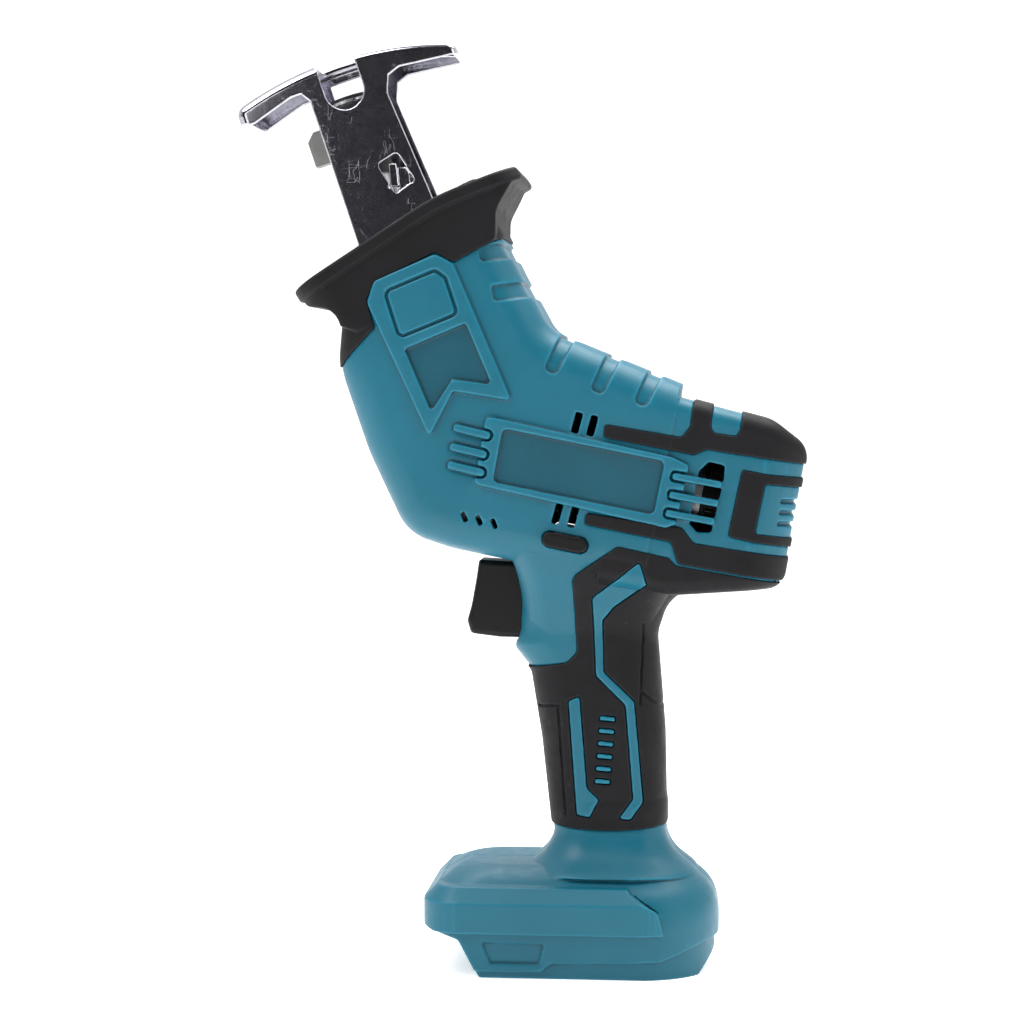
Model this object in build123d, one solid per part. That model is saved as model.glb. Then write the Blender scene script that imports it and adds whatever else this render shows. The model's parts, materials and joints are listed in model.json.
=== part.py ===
from functools import lru_cache
from math import cos, hypot, pi, radians, sin, tan
import os

from build123d import *

# A compact cordless reciprocating saw, in millimetres.
# The origin is the middle of the battery foot's underside: +Z is up, the nose points up and to -X,
# the motor's tail points to +X, and -Y is the tool's left side.

# ---- driving dimensions -------------------------------------------------------------------------

CRANK_X, CRANK_Z = -40.1, 191.0      # where the plunger's line and the motor's line cross
NOSE_TILT = 18.6                     # plunger line, degrees from vertical towards -X
MOTOR_DIP = 11.3                     # motor line, degrees below horizontal towards +X
RAKE = 14.6                          # nose face and boot flange against the plunger's cross plane

BODY_HALF = 30.0                     # half width of the nose and motor barrel
BODY_EDGE = 12.0                     # rounding of its long edges
TAIL_HALF = 29.5
TAIL_EDGE = 6.0
TAIL_PLAN_R = 17.0
HANDLE_HALF = 17.0
HANDLE_EDGE = 12.0
FOOT_HALF = 38.0
WALL = 2.5                           # moulded wall
SKIN_OUT, SKIN_IN = 0.8, 1.2         # rubber skin: proud of the plastic, and sunk into it
GAP = 0.3                            # running gap between bodies

TRIGGER_TRAVEL = 5.5
BUTTON_TRAVEL = 3.0
STROKE = 18.0
COLLAR_TURN = 30.0

NOSE = Pos(CRANK_X, 0, CRANK_Z) * Rot(0, -NOSE_TILT, 0)             # local +Z runs up the plunger
MOTOR = Pos(CRANK_X, 0, CRANK_Z) * Rot(0, MOTOR_DIP, 0)             # local +X runs back along the motor


def nose(t, s):
    """Side-view point t across and s along the plunger line from the crank centre."""
    a = radians(NOSE_TILT)
    return CRANK_X + t * cos(a) - s * sin(a), CRANK_Z + t * sin(a) + s * cos(a)


def motor(d, h):
    """Side-view point d back along and h above the motor line from the crank centre."""
    a = radians(MOTOR_DIP)
    return CRANK_X + d * cos(a) + h * sin(a), CRANK_Z - d * sin(a) + h * cos(a)


# ---- outlines: (x, z, corner radius) --------------------------------------------------------------

BODY = [
    (*nose(-24.6, 95.0), 0), (*nose(-24.6, 56.0), 14), (*nose(-31.4, 40.5), 30), (*nose(-31.2, 8.0), 60),
    (-58.4, 159.3, 18), (-42.3, 153.9, 60), (*motor(95.0, -36.8), 0), (*motor(95.0, 34.0), 0),
    (-6.2, 232.5, 12), (*nose(41.2, 52.0), 60), (*nose(35.5, 95.0), 0),
]


# ---- helpers --------------------------------------------------------------------------------------

def moved_out(corners, grow):
    """The same closed outline with every side moved outwards by grow."""
    count = len(corners)
    area = sum(corners[i - 1][0] * corners[i][1] - corners[i][0] * corners[i - 1][1] for i in range(count))
    turn = 1 if area > 0 else -1
    result = []
    for i in range(count):
        (xa, za, _), (xb, zb, r), (xc, zc, _) = corners[i - 1], corners[i], corners[(i + 1) % count]
        la, lb = hypot(xb - xa, zb - za), hypot(xc - xb, zc - zb)
        ax, az, bx, bz = (xb - xa) / la, (zb - za) / la, (xc - xb) / lb, (zc - zb) / lb
        cross, dot = (ax * bz - az * bx) * turn, ax * bx + az * bz
        shift = grow * turn / (1 + dot)
        x, z = xb + shift * (az + bz), zb - shift * (ax + bx)
        if r > 0:
            r = r + grow if cross > 0 else r - grow
        result.append((x, z, max(r, 0)))
    return result


def side_face(corners):
    """Closed face in the side view, its corners rounded."""
    count = len(corners)
    ends, arcs = [], []
    for i in range(count):
        (xa, za, _), (xb, zb, r), (xc, zc, _) = corners[i - 1], corners[i], corners[(i + 1) % count]
        a, b, c = Vector(xa, za), Vector(xb, zb), Vector(xc, zc)
        to_a, to_c = (a - b).normalized(), (c - b).normalized()
        if r <= 0:
            ends.append((b, b))
            continue
        half = radians(to_a.get_angle(to_c)) / 2
        start, stop = b + to_a * (r / tan(half)), b + to_c * (r / tan(half))
        middle = b + (to_a + to_c).normalized() * (r / sin(half) - r)
        ends.append((start, stop))
        arcs.append(ThreePointArc(start, middle, stop))
    lines = [Line(ends[i - 1][1], ends[i][0]) for i in range(count) if (ends[i - 1][1] - ends[i][0]).length > 1e-4]
    return Plane.XZ * make_face(Curve() + lines + arcs)


def slab(corners, half, grow=0.0):
    """Prism of a side-view outline, from -half to +half in Y."""
    return extrude(side_face(moved_out(corners, grow) if grow else corners), half + grow, both=True)


def soft_slab(corners, half, edge, grow=0.0):
    """The same prism with its two side faces' edges rounded."""
    block = slab(corners, half, grow)
    rim = [e for f in block.faces().filter_by(Axis.Y) for e in f.edges()]
    return fillet(rim, edge + grow)

TAIL = [
    (*motor(60.0, -36.9), 0), (*motor(86.0, -36.4), 25), (*motor(124.4, -26.0), 6.5), (*motor(123.4, 24.0), 8),
    (*motor(110.0, 30.8), 14), (*motor(60.0, 33.6), 0),
]
HANDLE = [
    (-24.0, 172.0, 0), (-18.0, 138.0, 14), (-18.4, 124.0, 8), (-20.4, 117.0, 2.5), (-13.6, 108.5, 6),
    (-9.6, 84.0, 60), (-4.8, 40.0, 0), (35.2, 40.0, 0), (34.2, 86.0, 60), (31.2, 122.0, 14),
    (35.6, 135.4, 14), (62.0, 147.5, 0), (62.0, 172.0, 0),
]
FOOT_FRONT, FOOT_REAR = -52.0, 55.0
FOOT_SKIRT = 16.5                    # underside of the bulges
FOOT_END = [
    (-31.0, 0.0, 0), (-33.0, 3.5, 2), (-38.5, 14.0, 3), (-56.0, 19.0, 0), (-60.0, 60.0, 0), (60.0, 60.0, 0),
    (60.0, 12.0, 0), (54.6, 9.0, 4), (47.7, 0.0, 0),
]

# Regions on the housing's sides, seen along Y.
NECK_REGION = [
    (*nose(-70, 30), 0), (*nose(-31.0, 40.5), 3), (*nose(-13.6, 49.5), 1), (*nose(-13.2, 60.0), 1),
    (*nose(-7.8, 64.9), 1), (*nose(15.3, 68.0), 1), (*nose(21.0, 62.4), 1), (*nose(70, 71.0), 0),
    (*nose(70, 120), 0), (*nose(-70, 120), 0),
]
GRIP_REGION = [
    (-40.0, 106.4, 0), (-0.4, 112.2, 3), (3.3, 116.0, 3), (1.9, 144.0, 4), (18.3, 155.4, 2), (36.5, 151.4, 1),
    (39.4, 148.6, 1), (100.0, 138.2, 0), (100.0, 100.0, 0), (60.0, 54.8, 0), (14.0, 50.4, 150), (-40.0, 55.2, 0),
]
LOWER_FORK = [
    (7.3, 167.4, 1), (41.2, 162.3, 2), (45.4, 156.7, 2), (100.0, 148.2, 0), (100.0, 139.0, 0), (39.8, 149.4, 1),
    (37.4, 157.3, 2), (6.5, 163.4, 1),
]
UPPER_FORK = [
    (13.8, 199.0, 1), (41.0, 194.4, 2), (44.1, 198.2, 2), (46.5, 216.0, 0), (54.0, 216.0, 0), (51.2, 198.6, 1),
    (52.4, 196.0, 1), (60.4, 194.8, 1), (61.8, 197.0, 1), (65.0, 216.0, 0), (100.0, 216.0, 0), (100.0, 182.6, 0),
    (61.8, 188.3, 2), (49.9, 190.2, 2), (45.7, 188.2, 2), (13.4, 194.4, 1),
]
TAIL_CLIP = [
    (62.6, 183.0, 1), (71.4, 181.2, 1), (100.0, 178.2, 0), (100.0, 174.6, 0), (70.6, 177.9, 1), (67.0, 160.1, 1),
    (100.0, 155.4, 0), (100.0, 151.8, 0), (66.4, 157.2, 1), (57.6, 159.2, 1),
]
STRIPE_LONG = [
    (26.4, 150.4, 1), (29.1, 141.6, 1), (16.9, 132.8, 2), (12.8, 127.8, 2), (13.2, 109.0, 2), (24.3, 98.4, 2),
    (27.6, 61.4, 2), (22.9, 54.8, 1), (17.9, 55.1, 1), (23.4, 62.6, 2), (20.6, 96.8, 2), (9.8, 107.5, 2),
    (8.6, 136.4, 2),
]
STRIPE_SHORT = [
    (4.4, 100.4, 1), (7.1, 66.5, 2), (11.6, 62.2, 1), (8.0, 55.4, 1), (2.9, 56.4, 1), (-0.2, 98.4, 1),
]
BOOKMARK = [
    (-68.9, 250.1, 2), (-46.8, 259.6, 2), (-40.3, 256.1, 2), (-19.5, 207.5, 1), (-40.4, 210.9, 1),
    (-49.0, 194.5, 1), (-71.3, 242.3, 2),
]
BOOKMARK_PAD = [(-64.2, 246.0, 2), (-46.8, 253.2, 1.5), (-43.6, 250.8, 1.5), (-39.6, 238.8, 1.5), (-59.3, 230.8, 1.5)]
BOOKMARK_POCKET = [(-57.9, 225.8, 1), (-35.9, 235.1, 1), (-26.6, 213.2, 1), (-40.7, 215.1, 1), (-48.3, 203.4, 1)]
MOTOR_FRAME = [
    (-28.6, 202.0, 2), (37.7, 187.4, 2), (43.7, 184.4, 1), (39.2, 163.8, 1), (35.6, 162.3, 2), (-32.9, 177.7, 2),
]
MOTOR_POCKET = [(-22.6, 197.6, 2), (35.2, 186.0, 2), (31.2, 166.9, 2), (-26.2, 178.4, 2)]
MOTOR_WINDOW = [
    (50.7, 185.8, 1), (56.4, 184.5, 1), (56.1, 179.9, 1), (51.6, 160.6, 1), (46.6, 160.8, 1), (43.9, 163.7, 1),
    (45.4, 173.7, 1), (47.3, 182.6, 1),
]
FOOT_PANEL = [(-30.3, 13.4, 1), (-7.3, 13.1, 1), (-9.2, 5.4, 1), (-27.0, 5.4, 1)]
FOOT_BULGE = [
    (-80.0, 60.0, 0), (14.0, 60.0, 0), (22.5, 31.6, 4), (33.4, 24.6, 3), (35.4, 16.0, 0), (-80.0, 16.0, 0),
]
FOOT_STRIP = [
    (-40.0, 2.6, 0), (-8.4, 2.9, 2), (-5.0, 5.9, 2), (34.0, 6.9, 6), (49.6, 12.3, 8), (70.0, 14.5, 0),
    (70.0, -9.0, 0), (-40.0, -9.0, 0),
]


def plan_slab(x_low, x_high, half, z_low, z_high, r_front, r_rear, grow=0.0):
    """Block with plan-view corner radii: r_front at -X and r_rear at +X."""
    size = (x_high - x_low + 2 * grow, 2 * (half + grow), z_high - z_low + 2 * grow)
    block = Pos((x_low + x_high) / 2, 0, (z_low + z_high) / 2) * Box(*size)
    upright = block.edges().filter_by(Axis.Z).sort_by(Axis.X)
    block = fillet(upright[:2], r_front + grow)
    upright = block.edges().filter_by(Axis.Z).sort_by(Axis.X)
    return fillet(upright[-2:], r_rear + grow)


def barrel_form(grow):
    """Nose and motor barrel, cut off square at the tail and raked at the nose."""
    front = soft_slab(BODY, BODY_HALF, BODY_EDGE, grow)
    front -= MOTOR * Pos(75.0 + grow + 100, 0, 0) * Box(200, 200, 200)
    return front - NOSE * Pos(5.0, 0, 80.0 + grow) * Rot(0, -RAKE, 0) * Pos(0, 0, 50) * Box(200, 200, 100)


def tail_form(grow):
    """Rounded rear end of the motor barrel."""
    sides = slab(TAIL, TAIL_HALF, grow)
    plan = MOTOR * plan_slab(20.0, 125.6, TAIL_HALF, -60.0, 60.0, 3.0, TAIL_PLAN_R, grow)
    tail = sides & plan
    return fillet([e for e in tail.edges() if e.center().X > 22], 5.0 + grow)


def shoulder_form(grow):
    """Flare from the handle up into the motor barrel."""
    rows = [
        (118.0, -16.6, 31.2, 16.8), (128.0, -16.8, 31.8, 18.0), (137.0, -17.6, 36.0, 21.2), (145.0, -19.0, 43.0, 25.2),
        (153.0, -22.0, 50.0, 28.2),
    ]
    faces = [
        Pos((low + high) / 2, 0, z) * RectangleRounded(high - low + 2 * grow, 2 * (half + grow), 11 + grow)
        for z, low, high, half in rows
    ]
    return loft(faces)


def neck_form(grow):
    """Flare from the handle down into the foot."""
    rows = [(62.0, 0.0), (52.0, 0.5), (46.0, 1.8), (41.5, 4.6), (38.0, 8.6), (35.0, 12.0)]
    faces = [
        Pos(14.9, 0, z) * RectangleRounded(39.8 + 2 * (out + grow), 2 * (16.9 + out + grow), 12 + out + grow)
        for z, out in rows
    ]
    return loft(faces)


def foot_row(z, inward, grow):
    """Plan outline of the foot's hood at one height."""
    low, high = FOOT_FRONT + inward - grow, FOOT_REAR - inward + grow
    half = FOOT_HALF - 2.0 - 1.2 * inward + grow
    plan = Pos((low + high) / 2, 0) * Rectangle(high - low, 2 * half)
    plan = fillet(plan.vertices().group_by(Axis.X)[0], 14.0 - 0.1 * inward + grow)
    plan = fillet(plan.vertices().group_by(Axis.X)[-1], 30.0 - 1.1 * inward + grow)
    return Pos(0, 0, z) * plan


def foot_form(grow):
    """Crowned battery foot with a bulge along each side above a set-in skirt."""
    rows = [(18.0, 0.0), (24.0, 0.7), (29.0, 2.7), (33.0, 6.2), (36.0, 10.6), (38.0, 15.6)]
    hood = loft([foot_row(z + grow, inward, grow) for z, inward in rows])
    hood += extrude(foot_row(-10.0, 0.0, grow), 28.0 + grow)
    bulge = plan_slab(FOOT_FRONT, FOOT_REAR, FOOT_HALF, FOOT_SKIRT, 32.5, 14.0, 30.0, grow)
    bulge = chamfer(bulge.faces().sort_by(Axis.Z)[-1].edges(), 5.0 + 0.6 * grow)
    bulge &= slab(FOOT_BULGE, 60)
    return (hood + bulge) & slab(moved_out(FOOT_END, grow), 60)


@lru_cache
def housing_form(grow):
    """Outer form of the closed housing, moved outwards by grow."""
    form = barrel_form(grow) + tail_form(grow)
    form += soft_slab(HANDLE, HANDLE_HALF, HANDLE_EDGE, grow)
    form += shoulder_form(grow)
    return form + neck_form(grow) + foot_form(grow)


@lru_cache
def layer(outer, inner):
    """Whole surface layer of the housing between two offsets."""
    return housing_form(outer) - housing_form(inner)


def skin(region, outer=SKIN_OUT, inner=-SKIN_IN):
    """Layer of the housing's surface inside a side-view region."""
    return layer(outer, inner) & slab(region, 60)


# ---- placed primitives ----------------------------------------------------------------------------

def along_nose(radius, low, high, t=0.0, y=0.0):
    """Cylinder along the plunger line between two stations."""
    return NOSE * Pos(t, y, (low + high) / 2) * Cylinder(radius, high - low)


def along_motor(radius, low, high, y=0.0, h=0.0):
    """Cylinder along the motor line between two stations."""
    return MOTOR * Pos((low + high) / 2, y, h) * Rot(0, 90, 0) * Cylinder(radius, high - low)


def across(radius, low, high, x, z):
    """Cylinder along Y."""
    return Pos(x, (low + high) / 2, z) * Rot(90, 0, 0) * Cylinder(radius, high - low)


def nose_box(t, y, s):
    """Box in the nose frame from three (low, high) pairs."""
    size = [high - low for low, high in (t, y, s)]
    return NOSE * Pos(*[(low + high) / 2 for low, high in (t, y, s)]) * Box(*size)


def motor_box(d, y, h):
    """Box in the motor frame from three (low, high) pairs."""
    size = [high - low for low, high in (d, y, h)]
    return MOTOR * Pos(*[(low + high) / 2 for low, high in (d, y, h)]) * Box(*size)


def flat_box(x, y, z):
    """Box in the tool's frame from three (low, high) pairs."""
    size = [high - low for low, high in (x, y, z)]
    return Pos(*[(low + high) / 2 for low, high in (x, y, z)]) * Box(*size)


def bar(x, z, length, width, angle, radius):
    """Side-view outline of a bar centred on (x, z), turned by angle degrees."""
    a = radians(angle)
    corners = [(-length / 2, -width / 2), (length / 2, -width / 2), (length / 2, width / 2), (-length / 2, width / 2)]
    return [(x + u * cos(a) - v * sin(a), z + u * sin(a) + v * cos(a), radius) for u, v in corners]


def both_sides(region, low, high):
    """Side-view outline between two heights, on the left and on the right flank."""
    return slab(region, high) - slab(region, low)


def coil(radius, wire, length, turns):
    """Round-wire spring standing on the XY plane."""
    path = Helix(length / turns, length, radius)
    return sweep(Plane(path @ 0, z_dir=path % 0) * Circle(wire), path, is_frenet=True)


LEFT = flat_box((-200, 200), (-100, 0), (-20, 400))
RIGHT = flat_box((-200, 200), (0, 100), (-20, 400))


# ---- details on the housing -----------------------------------------------------------------------

BARS = [bar(14.6 - 0.078 * (95 - z), z, 6.2, 2.2, -4.5, 0.8) for z in (92.0, 87.4, 82.8, 78.2, 73.6, 69.0)]
INLAYS = [STRIPE_LONG, STRIPE_SHORT, *BARS]
LEFT_RIBS = [bar(x, z, 13.5, 2.6, -13.5, 1.2) for x, z in ((-33.6, 196.4), (-34.9, 189.6), (-35.8, 183.1))]
RIGHT_RIBS = [bar(x, z, 17.5, 2.3, -10.5, 0.6) for x, z in ((46.6, 179.2), (45.5, 172.6), (44.2, 166.1))]
VENTS = [bar(x, z, 7.6, 2.7, 75, 0.5) for x, z in ((3.8, 199.6), (9.3, 198.5), (-3.2, 167.0), (2.5, 165.9))]
SMALL_VENTS = [bar(x, z, 3.8, 1.8, -68, 0.5) for x, z in ((-36.6, 165.8), (-31.3, 164.6), (-25.9, 163.4))]
HUMP_GROOVES = [bar(x, z, 26.0, 5.2, 65, 2.5) for x, z in ((-0.5, 229.0), (16.0, 222.0), (31.5, 217.5))]
NOSE_GROOVES = [bar(*nose(44.0, s), 28.0, 6.0, NOSE_TILT - 10, 1.5) for s in (60.0, 45.0)]
BUTTON_X, BUTTON_Z, BUTTON_LONG, BUTTON_WIDE = -0.4, 156.9, 16.4, 5.4
TAIL_GROOVES = [bar(x, z, 20.0, 1.8, -4, 0.5) for x, z in ((86.0, 171.0), (85.5, 167.0), (84.8, 163.0))]

# Closing screws: side-view place, y of the head's seat, length.
SCREWS = [
    (*nose(-25.2, 37.5), 16, 22), (*nose(31.0, 48.0), 16, 22), (-35.6, 157.6, 16, 22), (*motor(50.0, 31.0), 16, 22),
    (*motor(114.0, 16.0), 12, 18), (*motor(112.0, -17.0), 12, 18), (26.0, 72.0, 8, 16),
    (-38.0, 27.5, 20, 26), (41.5, 26.0, 20, 26),
]


def button_outline(clear=0.0):
    """Stadium outline of the lock-off button."""
    wide = BUTTON_WIDE + 2 * clear
    return bar(BUTTON_X, BUTTON_Z, BUTTON_LONG + 2 * clear, wide, -MOTOR_DIP, wide / 2 - 0.05)


def add_flank_details(shell):
    """Raised panels and frames, pockets, ribs and grooves on both flanks."""
    top = BODY_HALF + 1.8
    shell += both_sides(BOOKMARK, BODY_HALF - 2, top)
    shell -= both_sides(moved_out(BOOKMARK_PAD, 1.2), top - 1.4, top + 1)
    shell += both_sides(BOOKMARK_PAD, top - 1.6, top - 0.2)
    shell -= both_sides(BOOKMARK_POCKET, top - 1.5, top + 1)
    shell += both_sides(MOTOR_FRAME, BODY_HALF - 2, top)
    shell -= both_sides(MOTOR_POCKET, top - 1.5, top + 1)
    for region in LEFT_RIBS:
        shell -= both_sides(moved_out(region, 1.0), BODY_HALF - 0.4, 60)
    for region in LEFT_RIBS:
        shell += both_sides(region, BODY_HALF - 2, top + 0.3)
    for region in (*HUMP_GROOVES, *NOSE_GROOVES, *TAIL_GROOVES):
        shell -= skin(region, 0.8, -SKIN_IN)
    shell -= both_sides(FOOT_PANEL, FOOT_HALF - 3.0, 60)
    return shell - (slab(FOOT_STRIP, 60) - extrude(foot_row(-10.0, 0.0, -1.6), 40.0))


def add_bosses(shell):
    """Screw posts from flank to flank."""
    inner = housing_form(-1.0)
    for x, z, seat, length in SCREWS:
        post = across(4.2, -60, 0, x, z) + across(5.4 if seat > 10 else 4.8, 0, 60, x, z)
        shell += post & inner
    return shell


def add_cradles(shell):
    """Ribs that hold the motor can and pads that hold the gear case."""
    inner = housing_form(-2.0)
    for d in (52.0, 82.0):
        shell += (motor_box((d, d + 2.5), (-60, 60), (-15, 15)) & inner) - along_motor(19.0, 40, 100)
    for low, high in ((-60, -20), (22, 60)):
        shell += across(9, low, high, CRANK_X, CRANK_Z) & inner
    return shell


BAY_HALF, BAY_MOUTH, BAY_TOP, BAY_REAR = 29.0, 25.5, 14.0, 40.0


def add_battery_bay(shell):
    """Battery slot under the foot, open to the front, with a rail along each side."""
    shell += flat_box((-60, BAY_REAR + 2.5), (-BAY_HALF - 2.5, BAY_HALF + 2.5), (0, BAY_TOP + 2.5)) & housing_form(0.0)
    shell -= flat_box((-80, BAY_REAR), (-BAY_HALF, BAY_HALF), (4.0, BAY_TOP))
    return shell - flat_box((-80, BAY_REAR), (-BAY_MOUTH, BAY_MOUTH), (-5, 5.0))


def cut_openings(shell):
    """Nose mouth, trigger slot, button holes, vents, motor windows and screw holes."""
    shell -= nose_box((-13.5, 23.5), (-15.0, 15.0), (55, 120)) - housing_form(-WALL)
    shell -= flat_box((-60, -11), (-8.5, 8.5), (119.6, 149.6))
    shell -= slab(button_outline(GAP), 60)
    window = slab(MOTOR_WINDOW, 60) - slab(MOTOR_WINDOW, 20)
    for region in RIGHT_RIBS:
        shell -= both_sides(moved_out(region, 1.0), BODY_HALF - 0.4, 60)
    for region in RIGHT_RIBS:
        window -= both_sides(region, BODY_HALF - 3.4, 60)
        shell += both_sides(region, BODY_HALF - 2, BODY_HALF + 2.1)
    shell -= window
    for region in (*VENTS, *SMALL_VENTS):
        shell -= both_sides(region, 22, 60)
    for x, z, seat, length in SCREWS:
        shell -= across(1.75, seat - length - 1, seat, x, z)
        shell -= across(3.8 if seat > 10 else 3.2, seat, 60, x, z)
    return shell


SKINS = [NECK_REGION, GRIP_REGION, LOWER_FORK, UPPER_FORK, TAIL_CLIP]


def closed_housing():
    """Both plastic halves as one, before the parting cut."""
    shell = housing_form(0.0) - housing_form(-WALL)
    shell = add_bosses(shell)
    shell = add_cradles(shell)
    shell = add_battery_bay(shell)
    shell = add_flank_details(shell)
    for region in SKINS:
        shell -= skin(region, 1.5)
    for region in INLAYS:
        shell += skin(moved_out(region, -0.35), SKIN_OUT + (0.3 if region in BARS else 0.0))
    shell = cut_openings(shell)
    return max(shell.solids(), key=lambda s: s.volume)


def grips():
    """Rubber round the handle with its lower fork on the barrel, inlays left open."""
    rubber = skin(GRIP_REGION) + skin(LOWER_FORK)
    for region in INLAYS:
        rubber -= slab(region, 60)
    for x, z, length, angle in ((26.8, 112.0, 30.0, 88), (-2.4, 76.0, 40.0, -86), (-7.0, 96.2, 8.5, 4), (30.0, 99.0, 11.0, -40)):
        rubber -= skin(bar(x, z, length, 1.0, angle, 0), 1.5, 0.0)
    for x, z, seat, length in SCREWS:
        rubber -= across(3.8 if seat > 10 else 3.2, seat, 60, x, z)
    return rubber


def tail_bumpers():
    """Rubber fork over the tail and the clip that frames its rear panel."""
    rubber = skin(UPPER_FORK) + skin(TAIL_CLIP)
    for x, z, seat, length in SCREWS:
        rubber -= across(3.8, seat, 60, x, z)
    return rubber


BOOT_PLATE = [
    (*nose(-38.4, 71.6), 1.5), (*nose(21.0, 86.8), 80), (*nose(52.2, 88.2), 1.5), (*nose(53.6, 83.2), 1.5),
    (*nose(21.5, 81.8), 80), (*nose(-37.4, 66.6), 1.5),
]
BOOT_FLARE = [
    (*nose(-37.0, 69.0), 0), (*nose(21.3, 83.8), 0), (*nose(52.0, 85.4), 0), (*nose(47.0, 80.6), 6),
    (*nose(41.0, 75.0), 10), (*nose(37.9, 66.0), 0), (*nose(30.0, 60.0), 0), (*nose(-20.0, 50.0), 0),
    (*nose(-25.2, 54.0), 0), (*nose(-25.0, 60.4), 8), (*nose(-35.0, 64.8), 3),
]


def nose_boot():
    """Rubber boot on the nose with its wide raked flange."""
    plate = slab(BOOT_PLATE, 32.0)
    plate &= NOSE * Pos(7.5, 0, 80) * Rot(0, -RAKE, 0) * plan_slab(-46.8, 46.4, 32.0, -40.0, 40.0, 13.0, 13.0)
    plate = fillet([e for f in plate.faces().filter_by(Axis.Y) for e in f.edges()], 1.2)
    flare = slab(BOOT_FLARE, BODY_HALF + SKIN_OUT)
    flare &= NOSE * Pos(7.5, 0, 80) * Rot(0, -RAKE, 0) * plan_slab(-46.0, 45.6, 30.8, -60.0, 60.0, 12.0, 12.0)
    collar = (plate + flare) & slab(NECK_REGION, 60)
    boot = skin(NECK_REGION) + (collar - housing_form(-SKIN_IN))
    return boot - nose_box((-13.2, 23.2), (-14.7, 14.7), (40, 120))


# ---- shoe -----------------------------------------------------------------------------------------

SHOE_HALF, SHEET = 14.0, 1.8
SHOE_R, SHOE_T, SHOE_TOP = 130.0, -1.0, 147.6
SHOE_LOW, SHOE_HIGH = -39.0, 44.8


def arch(t, inset=0.0):
    """Point of the shoe's arched face at t across the plunger line."""
    return nose(t, SHOE_TOP - SHOE_R + ((SHOE_R - inset) ** 2 - (t - SHOE_T) ** 2) ** 0.5)


def shoe_outline(inset=0.0):
    """Side view of the T-shaped shoe: arched face over one wide arm."""
    low, high = SHOE_LOW + inset, SHOE_HIGH - inset
    arc = ThreePointArc(arch(low, inset), arch(SHOE_T, inset), arch(high, inset))
    under = [
        (high, 134.6), (42.0, 135.0), (23.0, 137.2), (18.4, 135.6), (16.0, 129.5), (19.3, 91.0),
        (21.4, 60.0), (-11.8, 60.0), (-11.8, 136.0), (-14.2, 139.6), (-18.0, 139.6), (-34.0, 135.0),
        (low, 136.0),
    ]
    points = [arch(high, inset)] + [nose(*p) for p in under] + [arch(low, inset)]
    return Plane.XZ * make_face(Curve() + [arc, Polyline(*points)])


def shoe():
    """Bent sheet shoe: two flanks joined by the arched face."""
    block = extrude(shoe_outline(), SHOE_HALF, both=True)
    tips = [Vector(x, 0, z) for x, z in (arch(SHOE_LOW), arch(SHOE_HIGH))]
    tip_edges = [e for e in block.edges().filter_by(Axis.Y) if min((e.center() - tip).length for tip in tips) < 0.1]
    block = fillet(tip_edges, 4.2)
    block = fillet([e for e in block.edges() if e.geom_type == GeomType.CIRCLE], 3.2)
    inner = extrude(shoe_outline(SHEET), SHOE_HALF - SHEET, both=True)
    inner += nose_box((-60, 60), (-SHOE_HALF + SHEET, SHOE_HALF - SHEET), (50, 133))
    sheet = block - inner
    mouth = slab([(*nose(-5.6, 170), 0), (*nose(-6.0, 134.0), 6.5), (*nose(0.6, 124.4), 7), (*nose(8.6, 133.0), 6.5),
                  (*nose(8.0, 170), 0)], 60)
    sheet -= mouth & flat_box((-200, 200), (-60, 5.5), (0, 400))
    sheet -= mouth & nose_box((-30, 30), (5, 60), (100, 142.5))
    window = slab([(*nose(4.2, 106.2), 1.5), (*nose(12.4, 108.2), 1.5), (*nose(15.5, 96.4), 1.5), (*nose(7.0, 93.8), 1.5)], 60)
    sheet -= window & flat_box((-200, 200), (-60, 0), (0, 400))
    tab = NOSE * Pos(10.0, -SHOE_HALF + 0.6, 99.6) * Rot(0, 13.0, 0)
    sheet += tab * Pos(-1.6, -0.9, 0.6) * Rot(0, 0, 24) * Box(3.0, 1.4, 8.4)
    sheet += tab * Pos(1.9, 0.2, -1.6) * Box(4.6, 1.2, 9.6)
    for s in (66.0, 73.0):
        sheet -= NOSE * Pos(16.2, 0, s) * Rot(90, 0, 0) * Cylinder(1.6, 60)
    return sheet


def shoe_screws():
    """Two screws from each side into the gear case's lug."""
    screws = []
    for s in (66.0, 73.0):
        for side in (-1, 1):
            place = NOSE * Pos(16.2, side * SHOE_HALF, s) * Rot(-90 * side, 0, 0)
            shank = place * Pos(0, 0, -4.5) * Cylinder(1.55, 9)
            head = place * Pos(0, 0, 0.4) * Cylinder(2.6, 0.8)
            screws.append(shank + head)
    return Compound(screws)


# ---- gear case and crank --------------------------------------------------------------------------

GEAR_TEETH, PINION_TEETH, MODULE = 45, 9, 1.0
CRANK_R = STROKE / 2
CASE_R, CASE_IN = 27.2, 25.2


def gear_case():
    """Cast case: crank chamber, plunger neck, motor snout and shoe lug."""
    case = across(CASE_R, -17.5, 22, CRANK_X, CRANK_Z)
    case += along_nose(17.0, 5, 57) + along_nose(12.0, 50, 79.5) + along_motor(10.0, 20, 35.5)
    case += nose_box((11.0, 20.6), (-12.0, 12.0), (61, 78))
    chamber = across(CASE_IN, -18, 19.5, CRANK_X, CRANK_Z) - across(14.0, 13.0, 20, CRANK_X, CRANK_Z)
    case -= chamber
    case -= across(11.0, 12, 19.5, CRANK_X, CRANK_Z)
    case -= along_nose(14.5, 15, 54.6) - across(CASE_R, 19.5, 30, CRANK_X, CRANK_Z)
    case -= along_nose(8.5, 50, 90) + along_motor(8.0, 15, 33.5) + along_motor(4.0, 15, 40)
    for s in (66.0, 73.0):
        case -= NOSE * Pos(16.2, 0, s) * Rot(90, 0, 0) * Cylinder(1.55, 60)
    return max(case.solids(), key=lambda s: s.volume)


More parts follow.
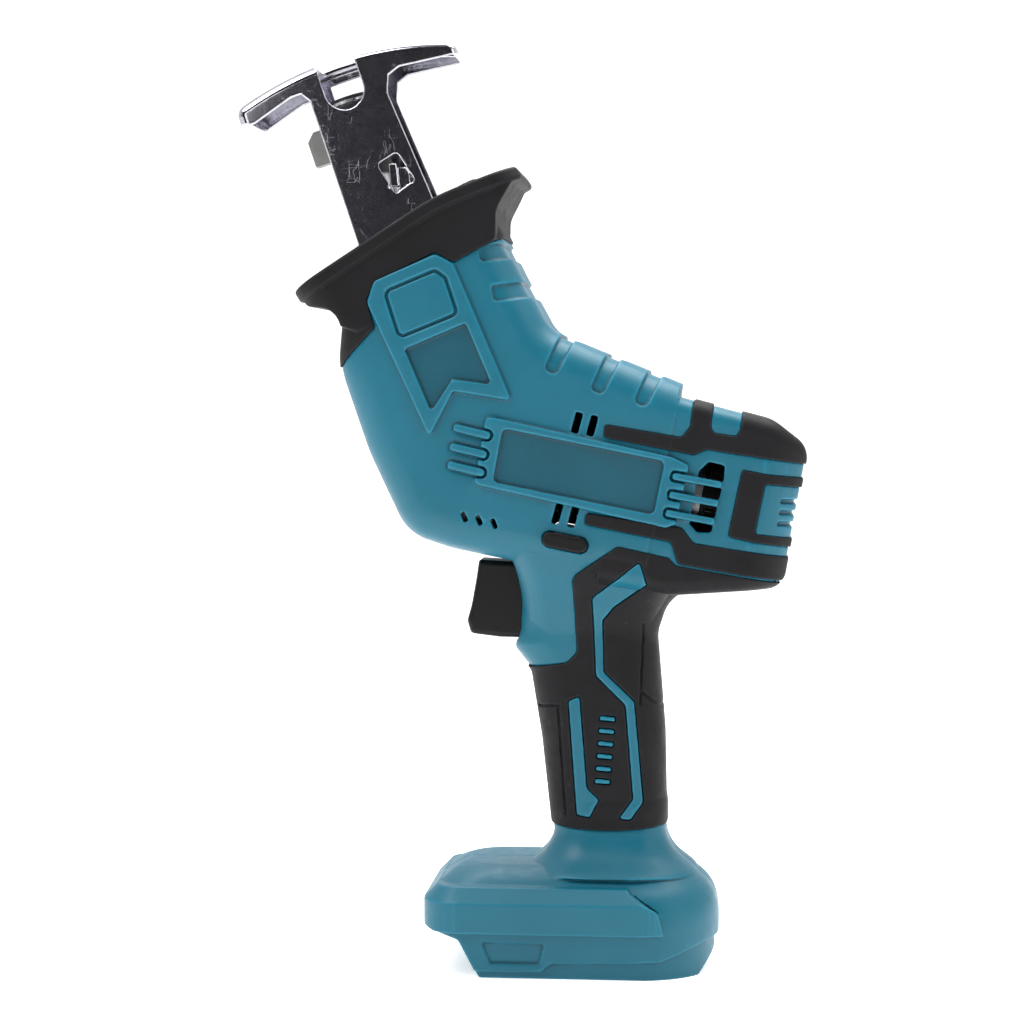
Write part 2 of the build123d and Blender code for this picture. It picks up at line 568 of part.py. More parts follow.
def gear_case_cover():
    """Flat lid on the crank chamber's left face."""
    return across(CASE_R, -20, -17.5, CRANK_X, CRANK_Z)


def crank_gear():
    """Face gear on its stub axle, with a seat for the crank pin."""
    gear = Pos(0, 0, 8.9) * Cylinder(24.7, 6.2) + Pos(0, 0, 15.7) * Cylinder(4.0, 7.4)
    tooth = Pos(22.1, 0, 4.9) * Box(5.0, 0.9, 2.2)
    ring = [Rot(0, 0, 360 / GEAR_TEETH * k) * tooth for k in range(GEAR_TEETH)]
    gear = Pos(CRANK_X, 0, CRANK_Z) * Rot(0, MOTOR_DIP, 0) * Rot(-90, 0, 0) * (gear + ring)
    gear -= across(3.5, -10, 11.8, *nose(-CRANK_R, 0))
    for t, s in ((13.5, 0), (0, 13.5), (0, -13.5)):
        gear -= across(3.6, -10, 30, *nose(t, s))
    return gear


def crank_pin():
    """Eccentric pin of the crank, ending just short of the yoke."""
    x, z = nose(-CRANK_R, 0)
    return across(3.5, -6.0 + GAP, 11.8, x, z)


def pinion():
    """Nine-tooth pinion on the motor shaft."""
    root = Cylinder(3.4, 5.2)
    tooth = Pos(4.3, 0, 0) * Box(2.4, 0.8, 5.2)
    gear = root + [Rot(0, 0, 360 / PINION_TEETH * (k + 0.5)) * tooth for k in range(PINION_TEETH)]
    gear -= Cylinder(2.5, 20)
    return MOTOR * Pos(22.4, 0, 0) * Rot(0, 90, 0) * Rot(0, 0, 90) * gear


def ring(outer, inner, thick):
    """Plain ring on the XY plane, centred."""
    return Cylinder(outer, thick) - Cylinder(inner, thick + 2)


def yoke():
    """Slotted cross plate with its arm up to the plunger."""
    plate = nose_box((-16.8, 16.8), (-12, -6), (-7.8, 7.8))
    plate = fillet(plate.edges().filter_by(Axis.Y), 3)
    plate += nose_box((-5, 5), (-12, -6), (5, 45)) + nose_box((-5, 5), (-7, -4), (36, 45))
    plate -= nose_box((-13.3, 13.3), (-20, 0), (-4.3, 4.3))
    for s in (38.4, 42.6):
        plate -= NOSE * Pos(0, 0, s) * Rot(90, 0, 0) * Cylinder(1.5, 60)
    return plate


def plunger():
    """Hardened plunger with a flat for the yoke's arm."""
    rod = along_nose(6.0, 35.5, 106)
    rod -= nose_box((-20, 20), (-20, -4), (20, 45.2))
    for s in (38.4, 42.6):
        rod -= NOSE * Pos(0, -7.4, s) * Rot(90, 0, 0) * Cylinder(1.5, 8)
    return rod


def yoke_screws():
    """Two screws that hold the arm on the plunger's flat."""
    return Compound([NOSE * Pos(0, -7.75, s) * Rot(90, 0, 0) * Cylinder(1.5, 8.5) for s in (38.4, 42.6)])


# ---- blade clamp ----------------------------------------------------------------------------------

def clamp_body():
    """Blade holder on the plunger's end with a flat slot for the blade's tang."""
    body = along_nose(8.5, 104, 110) + along_nose(11.4, 110, 112) + along_nose(9.6, 112, 134)
    body -= along_nose(6.0, 100, 106)
    body -= nose_box((-6.5, 6.5), (-0.8, 0.8), (114, 140))
    body -= NOSE * Pos(0, 5.5, 124) * Rot(90, 0, 0) * Cylinder(2.0, 10)
    groove = along_nose(12.0, 131.4, 132.6) - along_nose(9.0, 131, 133)
    return body - groove


def clamp_collar():
    """Turning collar with a skirt that hides its spring."""
    collar = along_nose(11.7, 112.4, 131.0)
    return collar - (along_nose(9.7, 100, 140) + along_nose(10.9, 110, 118))


def clamp_lever():
    """Release lever on the collar's left."""
    lever = nose_box((-18.8, -10.0), (-3.0, 3.0), (114.0, 126.6)) - along_nose(11.7, 100, 140)
    return lever - NOSE * Pos(-18.8, 0, 126.6) * Rot(0, 45, 0) * Box(4.4, 10, 4.4)


def clamp_spring():
    """Torsion spring inside the collar's skirt."""
    return NOSE * Pos(0, 0, 112.9) * coil(10.3, 0.4, 4.2, 3.5)


# ---- motor ----------------------------------------------------------------------------------------

CAN_R, CAN_FRONT, CAN_REAR, BELL_REAR = 18.95, 47.0, 90.0, 101.0


def motor_can():
    """Drawn steel can, open at the rear."""
    can = along_motor(CAN_R, CAN_FRONT, CAN_REAR) - along_motor(CAN_R - 1.5, CAN_FRONT + 1.5, CAN_REAR + 1)
    can -= along_motor(5.0, 40, 60)
    for k in range(6):
        can -= MOTOR * Rot(60 * k, 0, 0) * Pos(CAN_FRONT, 0, 11.5) * Rot(0, 90, 0) * Cylinder(2.4, 8)
    return can


def magnets():
    """Two curved field magnets."""
    sleeve = along_motor(CAN_R - 1.5, 52, 84) - along_motor(14.2, 50, 86)
    return sleeve - motor_box((40, 100), (-30, 30), (-7, 7))


def end_bell():
    """Plastic rear bell with cooling windows and the rear bearing's seat."""
    bell = along_motor(CAN_R, CAN_REAR, BELL_REAR) - along_motor(CAN_R - 1.8, CAN_REAR - 1, BELL_REAR - 2)
    bell += along_motor(9.0, BELL_REAR - 2, 107)
    bell -= along_motor(6.5, 90, 105) + along_motor(3.5, 90, 110)
    for k in range(8):
        bell -= MOTOR * Rot(45 * k + 22.5, 0, 0) * Pos(94.5, 0, 18) * Box(6.0, 6.5, 8)
        bell -= MOTOR * Rot(45 * k + 22.5, 0, 0) * Pos(BELL_REAR, 0, 13) * Box(6.0, 5.0, 4.5)
    for side in (-1, 1):
        holder = motor_box((90.5, 99), (-4.2, 4.2), (7.4, 18) if side > 0 else (-18, -7.4))
        brush = motor_box((91.9, 97.1), (-2.6, 2.6), (0, 30) if side > 0 else (-30, 0))
        bell += holder & along_motor(CAN_R - 0.5, 80, 110)
        bell -= brush & along_motor(17.0, 80, 110)
    return bell


def brushes():
    """Two carbon brushes on the commutator."""
    return Compound([motor_box((92, 97), (-2.5, 2.5), span) for span in ((6.3, 15.5), (-15.5, -6.3))])


def armature():
    """Slotted rotor stack."""
    stack = along_motor(13.6, 54, 82) - along_motor(2.5, 50, 90)
    for k in range(10):
        stack -= MOTOR * Rot(36 * k, 0, 0) * Pos(68, 0, 11.4) * Box(40, 2.0, 5.2)
    return stack


def windings():
    """Copper coil ends on both sides of the stack."""
    ends = []
    for low, high in ((49.8, 54), (82, 86.5)):
        end = along_motor(11.8, low, high) - along_motor(4.0, low - 1, high + 1)
        for k in range(10):
            end -= MOTOR * Rot(36 * k + 18, 0, 0) * Pos((low + high) / 2, 0, 12.2) * Rot(0, 0, 20) * Box(9, 1.4, 3.2)
        ends.append(end)
    return Compound(ends)


def commutator():
    """Copper bars round an insulating hub."""
    bars = along_motor(6.0, 89, 98) - along_motor(2.5, 80, 110)
    for k in range(10):
        bars -= MOTOR * Rot(36 * k, 0, 0) * Pos(93.5, 0, 5.6) * Box(12, 0.5, 1.4)
    return bars


def fan():
    """Cooling fan in front of the can."""
    wheel = along_motor(17.2, 38.0, 39.4) + along_motor(5.5, 38.0, 45.0)
    for k in range(14):
        wheel += MOTOR * Rot(360 / 14 * k, 0, 0) * Pos(41.9, 0, 10.9) * Rot(0, 0, 12) * Box(5.4, 1.1, 12.2)
    return wheel - along_motor(2.5, 30, 50)


# ---- switch, trigger and button -------------------------------------------------------------------

def trigger():
    """Finger trigger with its curved face, tail and push rod."""
    side = [
        (-33.6, 148.9, 1), (-34.6, 142.0, 20), (-36.4, 132.0, 20), (-38.0, 126.4, 3), (-36.6, 121.6, 2),
        (-26.0, 120.3, 4), (-11.2, 120.1, 0), (-11.2, 147.6, 0),
    ]
    body = slab(side, 8.0)
    front = [e for f in body.faces().filter_by(Axis.Y) for e in f.edges() if e.center().X < -20 and e.center().Z > 120.6]
    body = fillet(front, 2.0)
    body -= Pos(-14.6, 0, 134) * Rot(0, 90, 0) * Cylinder(3.6, 8.4)
    return body + Pos(-8.6, 0, 134) * Rot(0, 90, 0) * Cylinder(1.9, 20.4)


def trigger_spring():
    """Return spring round the push rod."""
    return Pos(-18.4, 0, 134) * Rot(0, 90, 0) * coil(2.9, 0.35, 14.0, 7)


def switch_body():
    """Switch box in the top of the handle."""
    box = flat_box((-4.0, 22.0), (-8.5, 8.5), (113.0, 147.0))
    box = fillet(box.edges().filter_by(Axis.Y), 1.2)
    return box - Pos(2.0, 0, 134) * Rot(0, 90, 0) * Cylinder(2.2, 20)


def lock_button():
    """Cross bolt that locks the trigger, standing out of the left flank."""
    bolt = slab(button_outline(), 31.4)
    bolt = fillet([e for f in bolt.faces().filter_by(Axis.Y) for e in f.edges()], 0.8)
    return Pos(0, -1.2, 0) * bolt


# ---- electrics ------------------------------------------------------------------------------------

def terminal_block():
    """Terminal block hanging in the battery bay."""
    block = flat_box((-14, 30), (-13, 13), (4.6, BAY_TOP))
    for y in (-8.5, 8.5):
        block -= flat_box((-20, 18), (y - 1.6, y + 1.6), (0, 12.2))
    block -= flat_box((-20, 8), (-3.5, 3.5), (0, 9))
    return block


def terminals():
    """Two spring-bronze blades."""
    return Compound([flat_box((-9, 18), (y - 0.4, y + 0.4), (5.4, 12.2)) for y in (-8.5, 8.5)])


def controller_board():
    """Circuit board above the battery bay."""
    board = flat_box((-16, 20), (-12, 12), (18.0, 19.6))
    return board + flat_box((-10, 2), (-8, 4), (19.6, 22.0)) + flat_box((6, 14), (-9, -3), (19.6, 24.0))


def leads(path_points, spread, radius):
    """A pair of insulated wires along one side-view path."""
    wires = []
    for y in (-spread, spread):
        path = Spline([Vector(x, y, z) for x, z in path_points])
        wires.append(sweep(Plane(path @ 0, z_dir=path % 0) * Circle(radius), path))
    return Compound(wires)


def housing_screws():
    """Closing screws, driven from the right."""
    screws = []
    for x, z, seat, length in SCREWS:
        wide = 3.5 if seat > 10 else 3.0
        head = across(wide, seat, seat + 2.4, x, z) - across(1.5, seat + 1.0, seat + 5, x, z)
        screws.append(head + across(1.7, seat - length, seat, x, z))
    return Compound(screws)


# ---- the parts ------------------------------------------------------------------------------------

def build():
    """Every node by name."""
    shell = closed_housing()
    rubber = grips()
    bumper = tail_bumpers()
    shaft_ring = MOTOR * Rot(0, 90, 0)
    block_x, block_z = nose(-CRANK_R, 0)
    return {
        "left_housing": shell & LEFT,
        "right_housing": shell & RIGHT,
        "left_grip": rubber & LEFT,
        "right_grip": rubber & RIGHT,
        "left_tail_bumper": bumper & LEFT,
        "right_tail_bumper": bumper & RIGHT,
        "nose_boot": nose_boot(),
        "shoe": shoe(),
        "shoe_screws": shoe_screws(),
        "housing_screws": housing_screws(),
        "gear_case": gear_case(),
        "gear_case_cover": gear_case_cover(),
        "crank_gear": crank_gear(),
        "crank_pin": crank_pin(),
        "crank_bearing": across(11.0, 12.6, 19.5, CRANK_X, CRANK_Z) - across(4.05, 0, 30, CRANK_X, CRANK_Z),
        "slot_block": across(4.15, -11.9, -6.1, block_x, block_z) - across(2.0, -20, 0, block_x, block_z),
        "yoke": yoke(),
        "yoke_screws": yoke_screws(),
        "plunger": plunger(),
        "rear_bush": NOSE * Pos(0, 0, 60) * ring(8.5, 6.05, 8),
        "front_bush": NOSE * Pos(0, 0, 73) * ring(8.5, 6.05, 8),
        "plunger_seal": NOSE * Pos(0, 0, 78.3) * ring(8.5, 6.06, 2.4),
        "clamp_body": clamp_body(),
        "clamp_collar": clamp_collar(),
        "clamp_lever": clamp_lever(),
        "clamp_spring": clamp_spring(),
        "clamp_ring": NOSE * Pos(0, 0, 132) * ring(10.9, 9.0, 1.0),
        "locking_pin": NOSE * Pos(0, 5.3, 124) * Rot(90, 0, 0) * Cylinder(1.95, 8.2),
        "motor_can": motor_can(),
        "magnets": magnets(),
        "end_bell": end_bell(),
        "brushes": brushes(),
        "armature": armature(),
        "windings": windings(),
        "commutator": commutator(),
        "motor_shaft": along_motor(2.5, 19.8, 106),
        "front_bearing": shaft_ring * Pos(0, 0, 30.6) * ring(8.0, 2.55, 5.0),
        "rear_bearing": shaft_ring * Pos(0, 0, 102.4) * ring(6.5, 2.55, 5.0),
        "fan": fan(),
        "pinion": pinion(),
        "trigger": trigger(),
        "trigger_spring": trigger_spring(),
        "switch_body": switch_body(),
        "lock_button": lock_button(),
        "terminal_block": terminal_block(),
        "terminals": terminals(),
        "controller_board": controller_board(),
        "motor_leads": leads([(23.2, 138), (32, 142), (43, 146), (49.0, 152.2)], 4.0, 1.1),
        "battery_leads": leads([(9.0, 112.6), (9.6, 80), (10.0, 50), (8.0, 24.4)], 3.0, 1.1),
    }


os.makedirs("parts", exist_ok=True)
for name, solid in build().items():
    export_step(solid, f"parts/{name}.step")
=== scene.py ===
import json
from math import cos, radians, sin

import bmesh
import bpy
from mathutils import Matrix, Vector


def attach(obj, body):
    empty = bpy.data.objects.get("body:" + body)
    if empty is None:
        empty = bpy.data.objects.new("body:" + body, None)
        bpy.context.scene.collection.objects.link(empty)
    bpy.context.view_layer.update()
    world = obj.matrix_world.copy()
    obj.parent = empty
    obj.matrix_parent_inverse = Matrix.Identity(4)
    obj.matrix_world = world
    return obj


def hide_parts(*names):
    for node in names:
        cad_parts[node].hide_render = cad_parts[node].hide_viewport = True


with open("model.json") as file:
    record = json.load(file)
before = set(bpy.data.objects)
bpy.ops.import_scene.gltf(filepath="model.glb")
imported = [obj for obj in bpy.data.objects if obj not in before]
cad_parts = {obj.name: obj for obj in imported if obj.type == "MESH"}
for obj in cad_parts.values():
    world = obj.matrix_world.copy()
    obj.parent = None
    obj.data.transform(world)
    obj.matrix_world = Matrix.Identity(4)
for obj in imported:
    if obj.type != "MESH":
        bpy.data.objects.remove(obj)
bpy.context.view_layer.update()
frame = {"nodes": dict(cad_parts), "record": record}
NODES = frame["nodes"]

MM = 0.001
AIM = Vector((-22.0, 0.0, 166.1)) * MM           # middle of the picture, on the tool's parting plane
CAMERA_DISTANCE = 0.90
CAMERA_AZIMUTH, CAMERA_ELEVATION = 5.0, 3.0
CAMERA_LENS, CAMERA_SENSOR = 85.5, 36.0


# ---- materials ------------------------------------------------------------------------------------

class Shader:
    """A node material round one Principled shader."""

    def __init__(self, name, **sockets):
        self.material = bpy.data.materials.new(name)
        self.material.use_nodes = True
        self.tree = self.material.node_tree
        self.bsdf = self.tree.nodes["Principled BSDF"]
        for socket, value in sockets.items():
            self.bsdf.inputs[socket.replace("_", " ")].default_value = value
        self.coords = self.tree.nodes.new("ShaderNodeTexCoord").outputs["Object"]

    def node(self, kind, inputs=None, **settings):
        """Adds a node; an input is either another node's output or a constant."""
        made = self.tree.nodes.new(kind)
        for key, value in settings.items():
            setattr(made, key, value)
        for key, value in (inputs or {}).items():
            if hasattr(value, "is_output"):
                self.tree.links.new(value, made.inputs[key])
            else:
                made.inputs[key].default_value = value
        return made

    def math(self, operation, first, second=0.0):
        return self.node("ShaderNodeMath", {0: first, 1: second}, operation=operation).outputs[0]

    def times(self, first, second):
        return self.math("MULTIPLY", first, second)

    def noise(self, scale, detail=4.0, rough=0.55, stretch=(1, 1, 1)):
        """Noise in object space; scale counts features per metre."""
        place = self.node("ShaderNodeMapping", {"Vector": self.coords, "Scale": stretch})
        return self.node(
            "ShaderNodeTexNoise",
            {"Vector": place.outputs["Vector"], "Scale": scale, "Detail": detail, "Roughness": rough},
        ).outputs["Fac"]

    def ramp(self, value, stops):
        """Colour looked up from (position, colour or grey) stops."""
        made = self.node("ShaderNodeValToRGB", {"Fac": value})
        elements = made.color_ramp.elements
        while len(elements) < len(stops):
            elements.new(0.5)
        for element, (position, colour) in zip(elements, stops):
            element.position = position
            element.color = (*colour, 1.0) if hasattr(colour, "__len__") else (colour, colour, colour, 1.0)
        return made.outputs["Color"]

    def span(self, value, low, high, from_low=0.0, from_high=1.0):
        """A value moved from one range to another and held at its ends."""
        made = self.node(
            "ShaderNodeMapRange",
            {"Value": value, "From Min": from_low, "From Max": from_high, "To Min": low, "To Max": high},
        )
        return made.outputs["Result"]

    def shade(self, colour, factor):
        """A colour made darker or lighter by a factor."""
        scaled = self.node("ShaderNodeVectorMath", {0: colour, "Scale": factor}, operation="SCALE")
        return scaled.outputs["Vector"]

    def painted_shade_and_highlight(self, dark, light, spread=0.035):
        """Factor of painted shade that darkens crevices and painted highlight that lightens raised edges.
        """
        pointy = self.tree.nodes.new("ShaderNodeNewGeometry").outputs["Pointiness"]
        low = self.span(pointy, dark, 1.0, 0.5 - spread, 0.495)
        high = self.span(pointy, 1.0, light, 0.508, 0.5 + spread)
        return self.times(low, high)

    def set(self, socket, output):
        """Feeds one of the Principled shader's own sockets."""
        self.tree.links.new(output, self.bsdf.inputs[socket])

    def bump(self, height, distance, strength=1.0, edge=0.0, under=None):
        """Fine surface relief, over edges rounded by the radius edge or over another normal."""
        inputs = {"Height": height, "Distance": distance, "Strength": strength}
        if edge:
            under = self.node("ShaderNodeBevel", {"Radius": edge}, samples=6).outputs["Normal"]
        if under is not None:
            inputs["Normal"] = under
        return self.node("ShaderNodeBump", inputs).outputs["Normal"]


def teal_plastic():
    """Moulded nylon; the set-in panels, marked on the mesh as inset, are darker."""
    shader = Shader("teal_plastic", IOR=1.5, Specular_IOR_Level=0.32)
    cloud = shader.noise(28.0, 3.0)
    tone = shader.ramp(cloud, [(0.3, (0.0045, 0.105, 0.158)), (0.7, (0.0065, 0.119, 0.177))])
    inset = shader.node("ShaderNodeAttribute", attribute_name="inset").outputs["Fac"]
    # painted shade darkens the creases and painted highlight lightens the raised edges; the panel floors
    # are darker
    factor = shader.times(shader.painted_shade_and_highlight(0.45, 1.45), shader.span(inset, 1.0, 0.60))
    shader.set("Base Color", shader.shade(tone, factor))
    grain = shader.noise(5200.0, 2.0, 0.6)
    wear = shader.noise(260.0, 6.0, 0.6)
    shader.set("Roughness", shader.span(wear, 0.36, 0.48, 0.3, 0.7))
    shader.set("Normal", shader.bump(grain, 0.000035, 0.5, edge=0.0004))
    return shader.material


def black_rubber():
    """Overmoulded rubber: matt, with a fine grain and rougher dusty patches; painted highlights make
    raised edges paler and painted shade darkens creases.
    """
    shader = Shader("black_rubber", IOR=1.45, Specular_IOR_Level=0.22)
    cloud = shader.noise(40.0, 4.0)
    tone = shader.ramp(cloud, [(0.3, (0.0045, 0.0043, 0.0052)), (0.7, (0.0072, 0.0069, 0.0082))])
    # painted shade in the creases and painted highlights on the raised edges
    shader.set("Base Color", shader.shade(tone, shader.painted_shade_and_highlight(0.5, 2.2)))
    grain = shader.noise(3600.0, 3.0, 0.7)
    dust = shader.noise(180.0, 6.0, 0.7)
    shader.set("Roughness", shader.span(dust, 0.50, 0.66, 0.3, 0.7))
    shader.set("Normal", shader.bump(grain, 0.00006, 0.6, edge=0.0004))
    return shader.material


def black_plastic():
    """Trigger and button plastic: darker and a little smoother than the rubber."""
    shader = Shader("black_plastic", IOR=1.45, Specular_IOR_Level=0.26)
    cloud = shader.noise(50.0, 4.0)
    shader.set("Base Color", shader.ramp(cloud, [(0.3, 0.0018), (0.7, 0.0032)]))
    grain = shader.noise(4200.0, 2.0)
    shader.set("Roughness", shader.span(shader.noise(300.0, 5.0), 0.36, 0.50, 0.3, 0.7))
    shader.set("Normal", shader.bump(grain, 0.00004, 0.5, edge=0.0003))
    return shader.material


def hairlines(shader, scale, stretch, width):
    """Thin curved lines where a noise field crosses its middle."""
    field = shader.noise(scale, 2.0, 0.5, stretch)
    distance = shader.math("ABSOLUTE", shader.math("SUBTRACT", field, 0.5))
    return shader.span(distance, 1.0, 0.0, 0.0, width)


def zinc_plate():
    """Bright zinc plate: a faint purple cast, soft dents, hairline scratches and small stains."""
    shader = Shader("zinc_plate", Metallic=1.0)
    tint = [(0.30, (0.46, 0.45, 0.52)), (0.52, (0.62, 0.62, 0.66)), (0.72, (0.52, 0.49, 0.58))]
    tone = shader.ramp(shader.noise(60.0, 6.0, 0.6), tint)
    upright = hairlines(shader, 330.0, (1.0, 1.0, 0.3), 0.004)
    level = hairlines(shader, 270.0, (0.25, 1.0, 1.0), 0.004)
    worn = shader.span(shader.noise(110.0, 3.0), 0.0, 1.0, 0.5, 0.62)
    scratches = shader.times(shader.math("MAXIMUM", upright, level), worn)
    stains = shader.span(shader.noise(900.0, 4.0, 0.7), 0.55, 1.0, 0.30, 0.46)
    shader.set("Base Color", shader.shade(tone, shader.times(stains, shader.span(scratches, 1.0, 1.2))))
    shader.set("Roughness", shader.span(scratches, 0.09, 0.26))
    dents = shader.noise(60.0, 2.0, 0.5)
    fine = shader.bump(scratches, 0.00001, 0.4, edge=0.0003)
    shader.set("Normal", shader.bump(dents, 0.00018, 0.35, under=fine))
    return shader.material


def metal(name, dark, light, rough, stretch=(1, 1, 1), metallic=1.0):
    """Machined or cast metal: two tones and a streaked finish."""
    shader = Shader(name, Metallic=metallic)
    streak = shader.noise(700.0, 5.0, 0.6, stretch)
    shader.set("Base Color", shader.ramp(shader.noise(120.0, 5.0), [(0.3, dark), (0.7, light)]))
    shader.set("Roughness", shader.span(streak, rough - 0.08, rough + 0.1, 0.3, 0.7))
    shader.set("Normal", shader.bump(streak, 0.00002, 0.5, edge=0.0002))
    return shader.material


def plain(name, dark, light, rough):
    """Small plastic or insulating parts: mottled tone and a fine grain."""
    shader = Shader(name)
    shader.set("Base Color", shader.ramp(shader.noise(300.0, 5.0), [(0.3, dark), (0.7, light)]))
    grain = shader.noise(2500.0, 3.0)
    shader.set("Roughness", shader.span(grain, rough - 0.08, rough + 0.08, 0.3, 0.7))
    shader.set("Normal", shader.bump(grain, 0.00003, 0.5, edge=0.0002))
    return shader.material


MATERIALS = {
    "teal_plastic": teal_plastic(),
    "black_rubber": black_rubber(),
    "black_plastic": black_plastic(),
    "zinc_plate": zinc_plate(),
    "cast_zinc": metal("cast_zinc", (0.20, 0.20, 0.19), (0.27, 0.27, 0.26), 0.48, metallic=0.7),
    "black_oxide": metal("black_oxide", (0.018, 0.018, 0.02), (0.035, 0.035, 0.038), 0.42, metallic=0.6),
    "ground_steel": metal("ground_steel", (0.50, 0.50, 0.51), (0.62, 0.62, 0.63), 0.25, (1, 1, 0.1)),
    "cast_aluminium": metal("cast_aluminium", (0.52, 0.53, 0.54), (0.66, 0.67, 0.68), 0.45),
    "zinc_can": metal("zinc_can", (0.42, 0.43, 0.45), (0.55, 0.56, 0.58), 0.3, (0.1, 1, 1)),
    "ferrite": metal("ferrite", (0.035, 0.035, 0.04), (0.06, 0.06, 0.065), 0.55, metallic=0.3),
    "lamination": metal("lamination", (0.24, 0.24, 0.26), (0.34, 0.34, 0.36), 0.4, (12, 1, 1)),
    "copper": metal("copper", (0.62, 0.28, 0.14), (0.78, 0.40, 0.22), 0.3),
    "bronze": metal("bronze", (0.50, 0.34, 0.14), (0.66, 0.48, 0.24), 0.35),
    "circuit_board": plain("circuit_board", (0.012, 0.12, 0.05), (0.02, 0.19, 0.08), 0.3),
    "lead_insulation": plain("lead_insulation", (0.30, 0.015, 0.012), (0.38, 0.02, 0.018), 0.4),
}

SLOT_OF = {entry["node"]: entry["material_slot"] for entry in frame["record"]["subparts"]}
BODY_OF = {n: body for body, members in frame["record"]["behaviour"]["bodies"].items() for n in members}


def paint(piece, slot):
    """Gives a piece one material and nothing else."""
    piece.data.materials.clear()
    piece.data.materials.append(MATERIALS[slot])


# ---- pieces ---------------------------------------------------------------------------------------

MOST_TRIANGLES = 190_000          # of one rebuilt piece


def apply_modifiers(piece):
    """Bakes a piece's modifiers into its mesh."""
    graph = bpy.context.evaluated_depsgraph_get()
    mesh = bpy.data.meshes.new_from_object(piece.evaluated_get(graph), depsgraph=graph)
    piece.modifiers.clear()
    piece.data = mesh


def moulded(node, voxel=0.42, rounds=3):
    """The CAD node's surface rebuilt as one even skin whose edges are softly rounded, as a moulding's are.

    The voxel is in millimetres, and each round of smoothing softens the edges further.
    """
    piece = bpy.data.objects.new(node + "_skin", NODES[node].data.copy())
    bpy.context.scene.collection.objects.link(piece)
    remesh = piece.modifiers.new("skin", "REMESH")
    remesh.mode = "VOXEL"
    remesh.voxel_size = voxel * MM * 1.0
    remesh.adaptivity = 0.0
    soften = piece.modifiers.new("soften", "SMOOTH")
    soften.factor = 0.5
    soften.iterations = rounds
    apply_modifiers(piece)
    triangles = 2 * len(piece.data.polygons)
    if triangles > MOST_TRIANGLES:
        reduce = piece.modifiers.new("reduce", "DECIMATE")
        reduce.ratio = MOST_TRIANGLES / triangles
        apply_modifiers(piece)
    piece.data.shade_smooth()
    paint(piece, SLOT_OF[node])
    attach(piece, BODY_OF[node])
    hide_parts(node)
    return piece


# Set-in panels on both flanks: side-view outlines, and how far out their floors lie, in millimetres.
MOTOR_POCKET = [(-22.6, 197.6), (35.2, 186.0), (31.2, 166.9), (-26.2, 178.4)]
BOOKMARK_POCKET = [(-57.9, 225.8), (-35.9, 235.1), (-26.6, 213.2), (-40.7, 215.1), (-48.3, 203.4)]
FLOOR_NEAR, FLOOR_FAR = 29.0, 31.2


def inside(x, z, corners):
    """Whether a side-view point lies in a polygon."""
    hit = False
    for (xa, za), (xb, zb) in zip(corners, corners[1:] + corners[:1]):
        if (za > z) != (zb > z) and x < (xb - xa) * (z - za) / (zb - za) + xa:
            hit = not hit
    return hit


def mark_panels(piece):
    """Marks the floor of the set-in panels for the shader."""
    marks = piece.data.attributes.new("inset", "FLOAT", "POINT")
    for vertex, mark in zip(piece.data.vertices, marks.data):
        x, y, z = vertex.co / MM
        on_floor = FLOOR_NEAR < abs(y) < FLOOR_FAR
        in_outline = inside(x, z, MOTOR_POCKET) or inside(x, z, BOOKMARK_POCKET)
        mark.value = 1.0 if on_floor and in_outline else 0.0


for name, node in NODES.items():
    paint(node, SLOT_OF[name])

for name in ("left_housing", "right_housing"):
    mark_panels(moulded(name))
for name in ("left_grip", "right_grip", "left_tail_bumper", "right_tail_bumper", "nose_boot"):
    moulded(name, voxel=0.35)
for name in ("trigger", "lock_button", "clamp_lever", "clamp_collar"):
    moulded(name, voxel=0.22)
moulded("shoe", voxel=0.28, rounds=2)


# ---- stage, light and camera ----------------------------------------------------------------------

def floor_sheet():
    """Pale, softly glowing floor that curves up into a backdrop."""
    mesh = bpy.data.meshes.new("floor")
    shape = bmesh.new()
    front, bend, depth, height, wide = -3.0, 1.0, 2.5, 3.0, 4.0
    profile = [(front, 0.0), (depth - bend, 0.0)]
    for degrees in range(6, 91, 6):
        a = radians(degrees)
        profile.append((depth - bend + bend * sin(a), bend - bend * cos(a)))
    profile.append((depth, height))
    rows = [[shape.verts.new((x, y, z)) for x in (-wide, wide)] for y, z in profile]
    for low, high in zip(rows, rows[1:]):
        shape.faces.new((low[0], low[1], high[1], high[0]))
    shape.to_mesh(mesh)
    shape.free()
    mesh.shade_smooth()
    floor = bpy.data.objects.new("floor", mesh)
    bpy.context.scene.collection.objects.link(floor)
    shader = Shader("floor", Roughness=0.9)
    shader.set("Base Color", shader.ramp(shader.noise(3.0), [(0.3, 0.86), (0.7, 0.88)]))
    shader.bsdf.inputs["Emission Color"].default_value = (1.0, 1.0, 1.0, 1.0)
    shader.bsdf.inputs["Emission Strength"].default_value = 0.5
    mesh.materials.append(shader.material)


def outward(azimuth, elevation):
    """Unit vector from the tool towards a viewer; azimuth 0 looks along +Y."""
    a, e = radians(azimuth), radians(elevation)
    return Vector((sin(a) * cos(e), -cos(a) * cos(e), sin(e)))


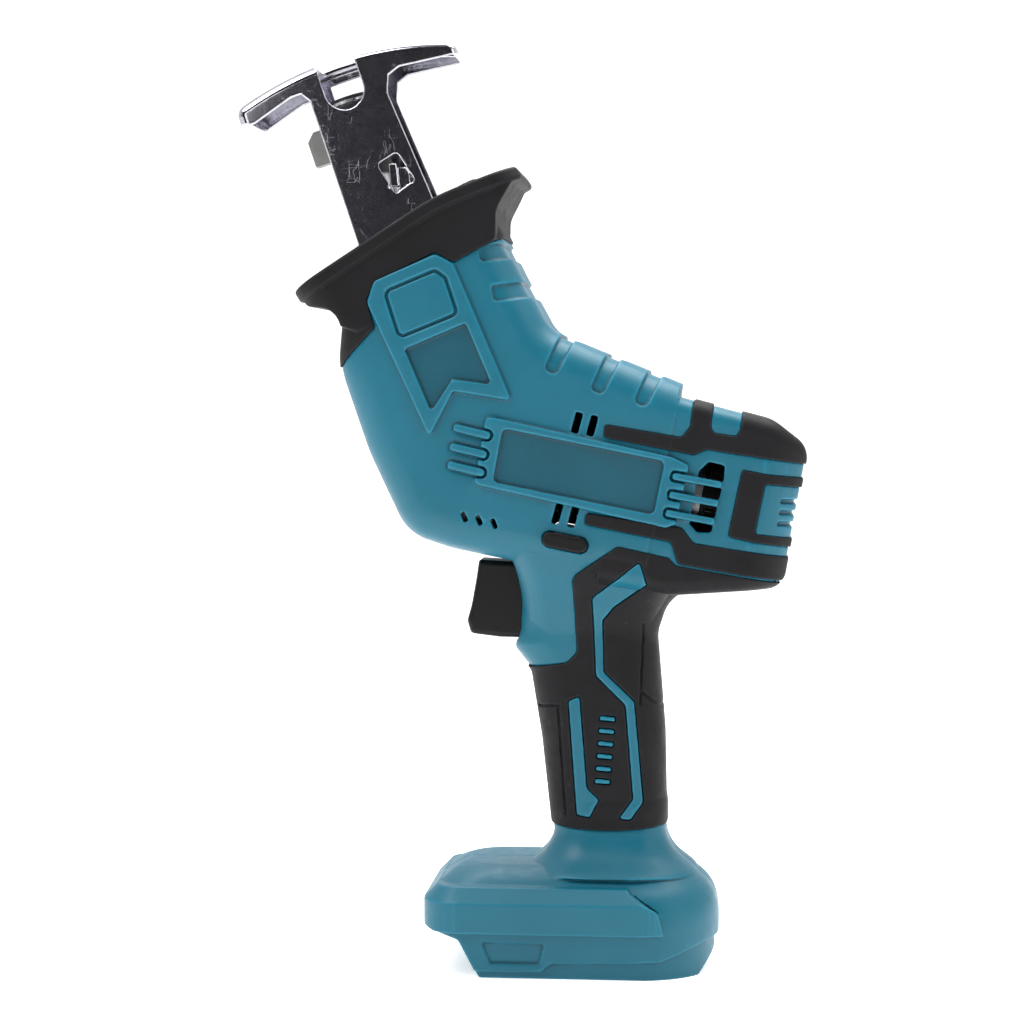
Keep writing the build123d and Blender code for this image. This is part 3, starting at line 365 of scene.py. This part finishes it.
def aimed(name, data, azimuth, elevation, distance):
    """Places a light or camera on a viewer's line and turns it to the tool."""
    holder = bpy.data.objects.new(name, data)
    bpy.context.scene.collection.objects.link(holder)
    holder.location = AIM + distance * outward(azimuth, elevation)
    holder.rotation_euler = (AIM - holder.location).to_track_quat("-Z", "Y").to_euler()
    return holder


def softbox(name, azimuth, elevation, distance, size, power):
    """Rectangular area light aimed at the tool."""
    light = bpy.data.lights.new(name, "AREA")
    light.shape = "RECTANGLE"
    light.size, light.size_y = size
    light.energy = power
    aimed(name, light, azimuth, elevation, distance)


def studio_world():
    """White surroundings with a dim side where the viewer stands."""
    world = bpy.data.worlds.new("studio")
    bpy.context.scene.world = world
    world.use_nodes = True
    tree = world.node_tree
    background = tree.nodes["Background"]
    coords = tree.nodes.new("ShaderNodeTexCoord")
    axes = tree.nodes.new("ShaderNodeSeparateXYZ")
    ramp = tree.nodes.new("ShaderNodeValToRGB")
    dim, bright = ramp.color_ramp.elements
    dim.position = 0.15
    dim.color = (0.045, 0.045, 0.05, 1)
    bright.position = 0.52
    bright.color = (1, 1, 1, 1)
    shift = tree.nodes.new("ShaderNodeMapRange")
    shift.inputs["From Min"].default_value = -1.0
    tree.links.new(coords.outputs["Generated"], axes.inputs[0])
    tree.links.new(axes.outputs["Y"], shift.inputs["Value"])
    tree.links.new(shift.outputs["Result"], ramp.inputs["Fac"])
    tree.links.new(ramp.outputs["Color"], background.inputs["Color"])
    background.inputs["Strength"].default_value = 0.9


def add_camera():
    """Camera at the angle of a level side view, a little to the rear and above."""
    camera = bpy.data.cameras.new("camera")
    camera.lens = CAMERA_LENS
    camera.sensor_width = CAMERA_SENSOR
    bpy.context.scene.camera = aimed("camera", camera, CAMERA_AZIMUTH, CAMERA_ELEVATION, CAMERA_DISTANCE)


bpy.context.scene.view_settings.view_transform = "Standard"
floor_sheet()
studio_world()
softbox("key", -50.0, 48.0, 1.3, (0.7, 0.7), 12.0)
softbox("fill", 62.0, 20.0, 1.6, (0.5, 1.2), 4.0)
softbox("top", 150.0, 75.0, 1.2, (1.4, 0.9), 30.0)
softbox("shoe_sheen", -20.5, 10.0, 1.6, (0.3, 0.4), 0.7)
add_camera()
